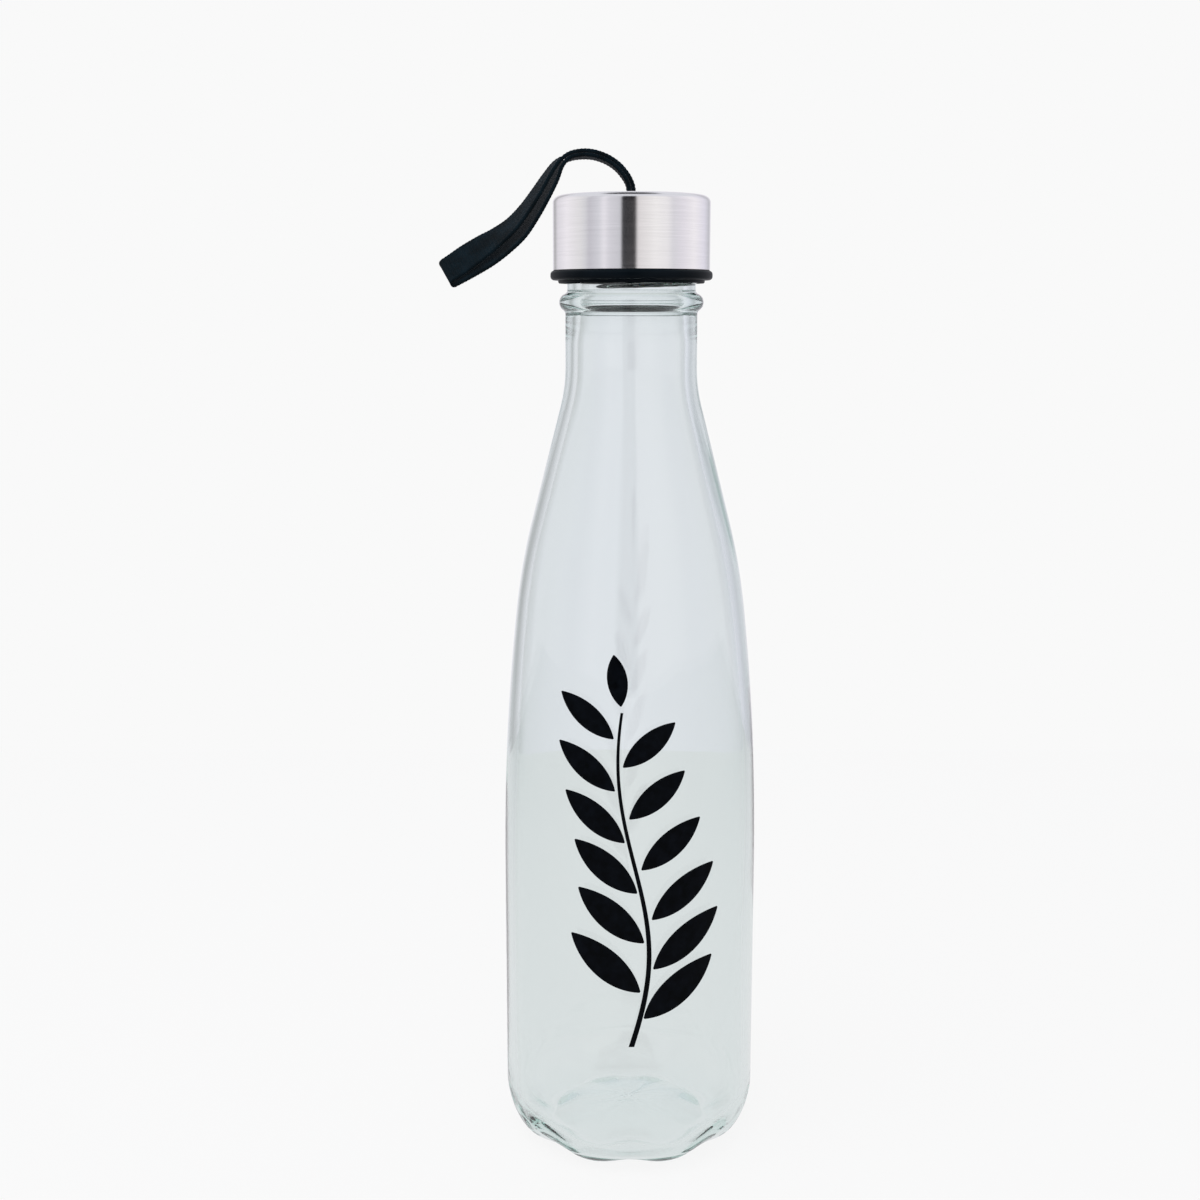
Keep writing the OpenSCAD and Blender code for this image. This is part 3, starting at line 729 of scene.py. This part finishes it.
def make_webbing():
    front = spline([(*s[0], s[1]) for s in STATIONS], FRONT_RINGS)
    back = spline([(*s[2], s[3]) for s in STATIONS], BACK_RINGS)
    cf, wf, tf = layer_frames(front)
    cb, wb, tb = layer_frames(back)
    centres, wides, thicks = list(cf), list(wf), list(tf)
    # The fold, half a turn from the front layer to the back one about the width direction.
    end_f, end_b = cf[-1], cb[-1]
    mid = (end_f + end_b) / 2
    out = np.cross(wf[-1], tf[-1])
    if out @ (cf[-1] - cf[-2]) <= 0:
        out = -out
    rad = np.linalg.norm(end_f - end_b) / 2
    up = (end_f - end_b) / (2 * rad)
    for a in np.linspace(0, math.pi, 13)[1:-1]:
        centres.append(mid + rad * (math.cos(a) * up + 1.1 * math.sin(a) * out))
        wides.append(wf[-1])
        thicks.append(math.cos(a) * tf[-1] + math.sin(a) * out)
    centres += list(cb[::-1])
    wides += list(wb[::-1])
    thicks += list(-tb[::-1])
    # Round the pin, from the back layer under it and up to the front one.
    low_b, low_f = cb[0], cf[0]
    wrap = PIN_R + WEB_T / 2 + PIN_GAP
    hang = []
    for s in np.linspace(0.15, 1, 6):
        hang.append((low_b * (1 - s) + np.array([-wrap, 0, PIN_Z]) * s, np.array([-1.0, 0, 0])))
    for a in np.linspace(math.pi, TAU, 17)[1:-1]:
        hang.append((np.array([wrap * math.cos(a), 0, PIN_Z + wrap * math.sin(a)]),
                     np.array([math.cos(a), 0, math.sin(a)])))
    for s in np.linspace(0, 0.85, 6):
        hang.append((low_f * s + np.array([wrap, 0, PIN_Z]) * (1 - s), np.array([1.0, 0, 0])))
    for c, t in hang:
        centres.append(c)
        wides.append(np.array([0.0, 1.0, 0.0]))
        thicks.append(t)
    centres, wides, thicks = map(np.array, (centres, wides, thicks))
    s = np.concatenate([[0], np.cumsum(np.linalg.norm(np.diff(centres, axis=0), axis=1))])
    ribs = 0.5 + 0.5 * np.cos(TAU * s / RIB)

    # Cross-section: flat faces with a rounded selvedge at each edge.
    half_w, half_t = WEB_W / 2, WEB_T / 2
    e = SELVEDGE
    turn = np.linspace(0.1, math.pi - 0.1, 9)
    sec = [(x, half_t) for x in np.linspace(-half_w + e + 0.3, half_w - e - 0.3, 17)]
    sec += [(half_w - e + e * math.sin(a), half_t * math.cos(a)) for a in turn]
    sec += [(x, -half_t) for x in np.linspace(half_w - e - 0.3, -half_w + e + 0.3, 17)]
    sec += [(-half_w + e - e * math.sin(a), -half_t * math.cos(a)) for a in turn]
    sec = np.array(sec)
    sec_s = np.concatenate([[0], np.cumsum(np.linalg.norm(np.diff(sec, axis=0), axis=1))])
    m, n = len(sec), len(centres)
    verts = np.empty((n, m, 3))
    for i in range(n):
        swell = RIB_H * (ribs[i] - 0.5) * 2
        face = np.sign(sec[:, 1]) * swell * np.clip((half_w - 0.3 - np.abs(sec[:, 0])) / 0.5, 0.25, 1)
        verts[i] = centres[i] + np.outer(sec[:, 0] * (1 + 0.012 * (ribs[i] - 0.5)), wides[i]) \
            + np.outer(sec[:, 1] + face, thicks[i])
    faces = []
    for i in range(n):
        for j in range(m):
            k, l = (j + 1) % m, (i + 1) % n
            faces.append((i * m + j, i * m + k, l * m + k, l * m + j))
    ob = new_object("webbing_loop", verts.reshape(-1, 3), faces, WEBBING, sharp=0)
    uv = ob.data.uv_layers.new(name="UVMap")
    total = s[-1]
    for poly in ob.data.polygons:
        for li, vi in zip(poly.loop_indices, poly.vertices):
            i, j = divmod(vi, m)
            u, v = sec_s[j], s[i]
            if j == 0 and max(q % m for q in poly.vertices) == m - 1:
                u = sec_s[-1] + 0.35
            if i == 0 and max(q // m for q in poly.vertices) == n - 1:
                v = total + 0.3
            uv.data[li].uv = (u, v)
    return ob


make_glass()
make_motif()
make_shell()
make_inner_cap()
make_seal()
make_pin()
webbing = make_webbing()
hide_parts("strap_loop", "strap_tail")
webbing.visible_glossy = False
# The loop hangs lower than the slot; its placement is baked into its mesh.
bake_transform(webbing)

# ---------------------------------------------------------------- floor, light and camera
WHITE = 0.9473        # linear value of a very light grey page
EYE = (-8.3, -444, 230.2)
EYE_TILT = 80.0       # degrees up from straight down
FLOOR_SIDE, FLOOR_BACK = 2000, 403


def stage_material():
    m = Nodes("pale_floor")
    m.set(Base_Color=(0.86, 0.86, 0.86, 1), Roughness=0.9)
    page = m.node("ShaderNodeEmission")
    page.inputs["Color"].default_value = (WHITE, WHITE, WHITE, 1)
    shade = m.node("ShaderNodeMixShader")
    shade.inputs[0].default_value = 0.95
    m.link(m.bsdf.outputs[0], shade.inputs[1])
    m.link(page.outputs[0], shade.inputs[2])
    seen = m.node("ShaderNodeMixShader")
    path = m.node("ShaderNodeLightPath")
    m.link(path.outputs["Is Camera Ray"], seen.inputs[0])
    # Round the bottle, for all but camera rays, the floor is a painted glow, with painted shade that
    # makes it darker the farther out to the sides it lies.
    sep = m.node("ShaderNodeSeparateXYZ")
    m.link(m.coords(), sep.inputs[0])
    out = m.math("ABSOLUTE", sep.outputs[0])
    painted_floor_glow = m.node("ShaderNodeEmission")
    m.link(m.ramp(out, [(0.10, (0.81, 0.80, 0.82)), (0.45, (0.62, 0.63, 0.65))]), painted_floor_glow.inputs["Color"])
    m.link(painted_floor_glow.outputs[0], seen.inputs[1])
    m.link(shade.outputs[0], seen.inputs[2])
    m.link(seen.outputs[0], m.out.inputs["Surface"])
    return m.mat


def make_stage():
    verts = [(-FLOOR_SIDE, -FLOOR_SIDE, 0), (FLOOR_SIDE, -FLOOR_SIDE, 0),
             (FLOOR_SIDE, FLOOR_BACK, 0), (-FLOOR_SIDE, FLOOR_BACK, 0)]
    floor = new_object("floor", verts, [(0, 1, 2, 3)], stage_material(), sharp=0)


def make_world():
    world = bpy.data.worlds.new("studio")
    bpy.context.scene.world = world
    world.use_nodes = True
    tree = world.node_tree
    tree.nodes.clear()
    new, link = tree.nodes.new, tree.links.new
    out = new("ShaderNodeOutputWorld")
    page, room, mix, path = (new("ShaderNodeBackground"), new("ShaderNodeBackground"),
                             new("ShaderNodeMixShader"), new("ShaderNodeLightPath"))
    page.inputs["Color"].default_value = (WHITE, WHITE, WHITE, 1)
    coord, sep, az = new("ShaderNodeTexCoord"), new("ShaderNodeSeparateXYZ"), new("ShaderNodeMath")
    link(coord.outputs["Generated"], sep.inputs[0])
    # Azimuth round the object, 0 straight behind the camera, from 0 to 1 over a full turn.
    az.operation = "ARCTAN2"
    link(sep.outputs[0], az.inputs[0])
    neg = new("ShaderNodeMath")
    neg.operation = "MULTIPLY"
    neg.inputs[1].default_value = -1
    link(sep.outputs[1], neg.inputs[0])
    link(neg.outputs[0], az.inputs[1])
    turn = new("ShaderNodeMapRange")
    turn.inputs["From Min"].default_value = -math.pi
    turn.inputs["From Max"].default_value = math.pi
    link(az.outputs[0], turn.inputs["Value"])
    around = new("ShaderNodeValToRGB")
    stops = [
        (-180, (0.87, 0.85, 0.91)), (-165, (0.81, 0.79, 0.84)), (-152, (0.44, 0.44, 0.45)),
        (-138, (0.80, 0.78, 0.83)), (-110, (0.99, 0.96, 1.00)), (-82, (0.86, 0.85, 0.86)),
        (-72, (0.76, 0.76, 0.79)), (-65, (0.62, 0.61, 0.66)), (-50, (0.74, 0.74, 0.79)),
        (-41, (0.93, 0.91, 0.96)), (-33, (0.76, 0.75, 0.80)), (-17, (0.66, 0.66, 0.70)),
        (-14, (0.012, 0.012, 0.015)), (4, (0.016, 0.013, 0.014)), (8, (0.82, 0.79, 0.79)),
        (34, (1.01, 0.99, 0.98)), (52, (0.96, 0.94, 0.95)), (62, (0.79, 0.78, 0.82)),
        (78, (0.87, 0.84, 0.90)), (102, (1.01, 0.98, 1.01)), (130, (0.84, 0.82, 0.91)),
        (152, (0.56, 0.56, 0.60)), (165, (0.81, 0.79, 0.84)), (180, (0.87, 0.85, 0.91)),
    ]
    e = around.color_ramp.elements
    while len(e) < len(stops):
        e.new(0.5)
    for el, (deg, col) in zip(e, stops):
        el.position = (deg + 180) / 360
        el.color = (*col, 1)
    link(turn.outputs["Result"], around.inputs[0])

    def limits(value, a, b, lo, hi):
        n = new("ShaderNodeMapRange")
        n.interpolation_type = "SMOOTHSTEP"
        for key, v in zip(("From Min", "From Max", "To Min", "To Max"), (a, b, lo, hi)):
            n.inputs[key].default_value = v
        link(value, n.inputs["Value"])
        return n.outputs["Result"]

    # The cards stand round the object at its own height, under an even dome with a dark top.
    band = new("ShaderNodeMath")
    band.operation = "MULTIPLY"
    link(limits(sep.outputs[2], -0.45, -0.30, 0, 1), band.inputs[0])
    link(limits(sep.outputs[2], 0.45, 0.70, 1, 0), band.inputs[1])
    dome = new("ShaderNodeMix")
    dome.data_type = "RGBA"
    dome.inputs["A"].default_value = (0.80, 0.81, 0.86, 1)
    link(band.outputs[0], dome.inputs["Factor"])
    link(around.outputs[0], dome.inputs["B"])
    top = new("ShaderNodeMix")
    top.data_type = "RGBA"
    top.inputs["B"].default_value = (0.05, 0.05, 0.055, 1)
    link(limits(sep.outputs[2], 0.90, 0.97, 0, 1), top.inputs["Factor"])
    link(dome.outputs["Result"], top.inputs["A"])
    link(top.outputs["Result"], room.inputs["Color"])
    room.inputs["Strength"].default_value = 1.0
    link(path.outputs["Is Camera Ray"], mix.inputs[0])
    link(room.outputs[0], mix.inputs[1])
    link(page.outputs[0], mix.inputs[2])
    link(mix.outputs[0], out.inputs["Surface"])


def make_camera():
    data = bpy.data.cameras.new("camera")
    data.sensor_width = 36.0
    data.lens = 49.5
    data.clip_start = 0.01
    camera = bpy.data.objects.new("camera", data)
    camera.location = [v * MM for v in EYE]
    camera.rotation_euler = (math.radians(EYE_TILT), 0, 0)
    bpy.context.scene.collection.objects.link(camera)
    bpy.context.scene.camera = camera


def make_light(name, at, aim, size, power):
    data = bpy.data.lights.new(name, "AREA")
    data.shape = "RECTANGLE"
    data.size, data.size_y = size[0] * MM, size[1] * MM
    data.energy = power
    ob = bpy.data.objects.new(name, data)
    ob.location = Vector(at) * MM
    ob.rotation_euler = (Vector(aim) * MM - ob.location).to_track_quat("-Z", "Y").to_euler()
    ob.visible_glossy = ob.visible_transmission = False
    bpy.context.scene.collection.objects.link(ob)


make_stage()
make_world()
make_camera()
make_light("overhead", (-200, -300, 900), (0, 0, 150), (700, 500), 6.0)
bpy.context.scene.view_settings.view_transform = "Standard"
# Light goes back and forth many times inside thick glass before it comes out.
cycles = bpy.context.scene.cycles
cycles.max_bounces = 40
cycles.glossy_bounces = cycles.transmission_bounces = 32
